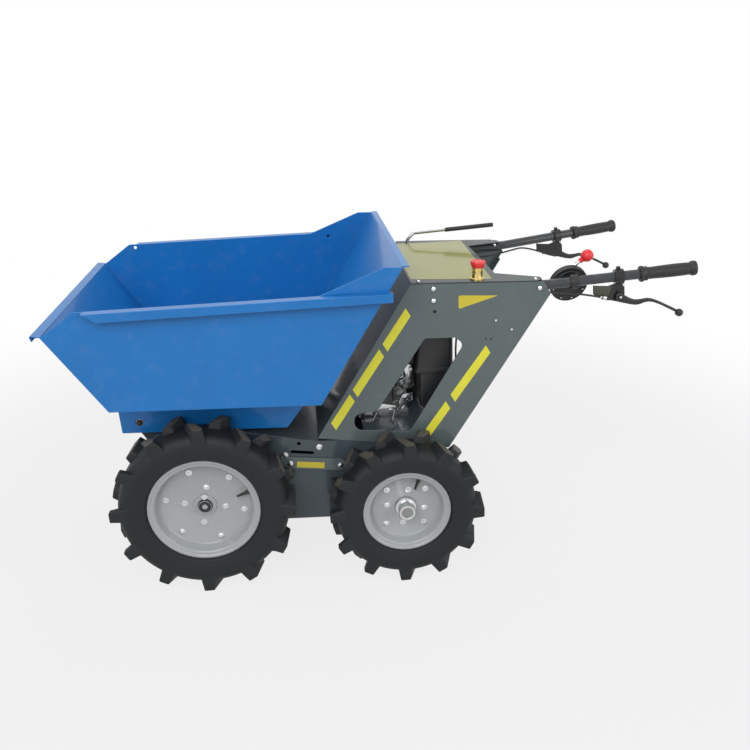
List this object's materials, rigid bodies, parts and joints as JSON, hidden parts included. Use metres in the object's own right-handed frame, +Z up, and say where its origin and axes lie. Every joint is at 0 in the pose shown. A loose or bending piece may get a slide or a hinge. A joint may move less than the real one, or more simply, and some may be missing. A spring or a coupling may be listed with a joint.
{
  "type": "petrol wheeled mini site dumper",
  "caption": "Walk-behind site dumper with a front-tipping steel skip, lugged tyres on wide rims, a sheet-metal console over an open engine and splayed handlebars.",
  "frame": {"origin": "centre of the bounding box on the ground under the tyres", "axes": "+X forward to the skip's lip, +Y to the machine's left, +Z up"},
  "size_m": [1.6001, 0.742, 0.867],
  "materials": {
    "skip_paint": "semi-gloss blue enamel",
    "console_paint": "semi-gloss grey powder coat",
    "chassis_paint": "satin dark grey powder coat",
    "rim_paint": "silver-grey wheel enamel",
    "tyre": "matt black lugged rubber",
    "zinc": "zinc-plated steel",
    "cast_alloy": "as-cast aluminium",
    "black_plastic": "black moulded plastic",
    "heat_black": "heat-resistant black",
    "red_plastic": "gloss red plastic",
    "clear_plastic": "bright metal-look tube",
    "chrome_rod": "bright chrome",
    "grip_rubber": "matt black rubber",
    "lever_black": "satin black"
  },
  "bodies": {
    "chassis": {"frame_side_left": "chassis_paint", "frame_side_right": "chassis_paint", "chassis_pan": "chassis_paint", "deck_plate": "chassis_paint", "pivot_bracket": "chassis_paint", "tipping_shaft": "zinc", "rest_pads": "grip_rubber", "bearings_left": "zinc", "bearings_right": "zinc", "chain_guards": "chassis_paint", "console_side_left": "console_paint", "console_side_right": "console_paint", "console_front_panel": "chassis_paint", "top_panel": "console_paint", "engine_mount": "chassis_paint", "crankcase": "cast_alloy", "fan_shroud": "black_plastic", "cylinder_block": "cast_alloy", "fuel_tank": "black_plastic", "air_filter": "black_plastic", "muffler": "heat_black", "carburettor": "cast_alloy", "rocker_cover": "cast_alloy", "recoil_starter": "black_plastic", "governor_linkage": "zinc", "belt_guard": "black_plastic", "gearbox": "cast_alloy", "handlebar_left": "chassis_paint", "handlebar_right": "chassis_paint", "grip_left": "grip_rubber", "grip_right": "grip_rubber", "lever_bracket_left": "lever_black", "lever_bracket_right": "lever_black", "hand_lever_left": "lever_black", "hand_lever_right": "lever_black", "throttle_housing": "black_plastic", "throttle_lever": "zinc", "throttle_knob": "red_plastic", "release_lever": "chrome_rod", "release_grip": "grip_rubber", "filler_neck": "clear_plastic", "filler_cap": "red_plastic", "clutch_cable_left": "black_plastic", "clutch_cable_right": "black_plastic", "throttle_cable": "black_plastic"},
    "skip": {"skip_shell": "skip_paint", "skip_subframe": "skip_paint"},
    "wheel_front_left": {"tyre_front_left": "tyre", "rim_front_left": "rim_paint", "hub_front_left": "zinc"},
    "wheel_front_right": {"tyre_front_right": "tyre", "rim_front_right": "rim_paint", "hub_front_right": "zinc"},
    "wheel_rear_left": {"tyre_rear_left": "tyre", "rim_rear_left": "rim_paint", "hub_rear_left": "zinc"},
    "wheel_rear_right": {"tyre_rear_right": "tyre", "rim_rear_right": "rim_paint", "hub_rear_right": "zinc"}
  },
  "joints": [
    {"name": "skip_tip", "type": "hinge", "parent": "chassis", "child": "skip", "pos_m": [0.604, 0, 0.438], "axis": [0, 1, 0], "range_deg": [0, 75]},
    {"name": "wheel_front_left_spin", "type": "hinge", "parent": "chassis", "child": "wheel_front_left", "pos_m": [0.444, 0.3, 0.235], "axis": [0, 1, 0], "continuous": true},
    {"name": "wheel_front_right_spin", "type": "hinge", "parent": "chassis", "child": "wheel_front_right", "pos_m": [0.444, -0.3, 0.235], "axis": [0, 1, 0], "continuous": true},
    {"name": "wheel_rear_left_spin", "type": "hinge", "parent": "chassis", "child": "wheel_rear_left", "pos_m": [-0.08, 0.3, 0.2035], "axis": [0, 1, 0], "continuous": true},
    {"name": "wheel_rear_right_spin", "type": "hinge", "parent": "chassis", "child": "wheel_rear_right", "pos_m": [-0.08, -0.3, 0.2035], "axis": [0, 1, 0], "continuous": true}
  ]
}
